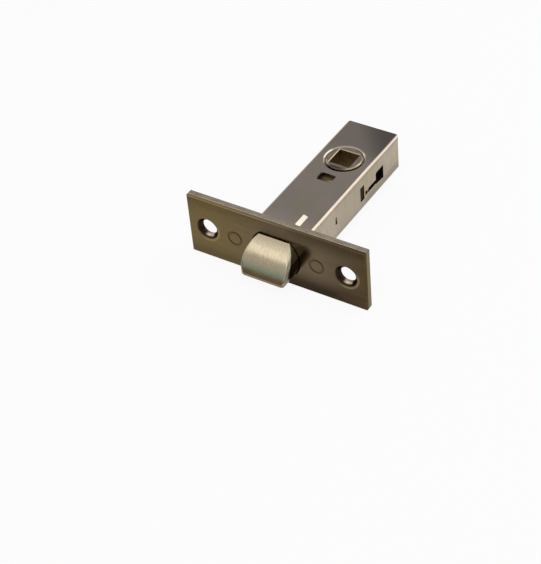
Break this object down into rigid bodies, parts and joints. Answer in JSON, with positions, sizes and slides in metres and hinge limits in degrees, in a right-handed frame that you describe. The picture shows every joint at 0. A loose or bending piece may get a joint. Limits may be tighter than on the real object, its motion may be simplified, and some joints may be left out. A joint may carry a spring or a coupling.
{
  "type": "tubular mortice latch",
  "caption": "Tubular mortice latch with a bronzed face plate, sprung curved-nose bolt, folded steel case and a hub with a square spindle hole.",
  "frame": {"origin": "middle of the base plate's back face, which seats on the door's edge", "axes": "+X along the face plates, +Y into the door towards the tail, +Z along the spindle, out of the case side with the window"},
  "size_m": [0.07, 0.0777, 0.0244],
  "materials": {
    "bronzed_plate": "antique bronzed, brushed",
    "plain_steel": "plain zinc-plated steel",
    "case_steel": "bright rolled steel sheet",
    "spring_steel": "yellow passivated wire",
    "cast_zinc": "cast zinc, dull",
    "passivated_steel": "yellow passivated steel",
    "satin_nickel": "satin nickel plate, warm tint"
  },
  "bodies": {
    "case_body": {"front_plate": "bronzed_plate", "base_plate": "plain_steel", "case": "case_steel", "spring_bridge": "case_steel", "return_spring": "spring_steel"},
    "hub": {"hub": "cast_zinc"},
    "slide": {"slide": "passivated_steel", "bolt_spring": "spring_steel"},
    "bolt": {"bolt_head": "satin_nickel", "bolt_stem": "plain_steel", "stem_washer": "plain_steel"}
  },
  "joints": [
    {"name": "hub_turn", "type": "hinge", "parent": "case_body", "child": "hub", "pos_m": [0, 0.0442, 0], "axis": [0, 0, 1], "range_deg": [0, 65]},
    {"name": "slide_draw", "type": "slide", "parent": "case_body", "child": "slide", "axis": [0, 1, 0], "range_m": [0, 0.0091], "stiffness_N_per_m": 150, "springref_m": -0.01, "deforming": ["return_spring"]},
    {"name": "bolt_push", "type": "slide", "parent": "slide", "child": "bolt", "axis": [0, 1, 0], "range_m": [0, 0.0091], "stiffness_N_per_m": 120, "springref_m": -0.008, "deforming": ["bolt_spring"]}
  ],
  "couplings": [
    {"joint": "hub_turn", "follows": "slide_draw", "rad_per_m": 124.66}
  ]
}
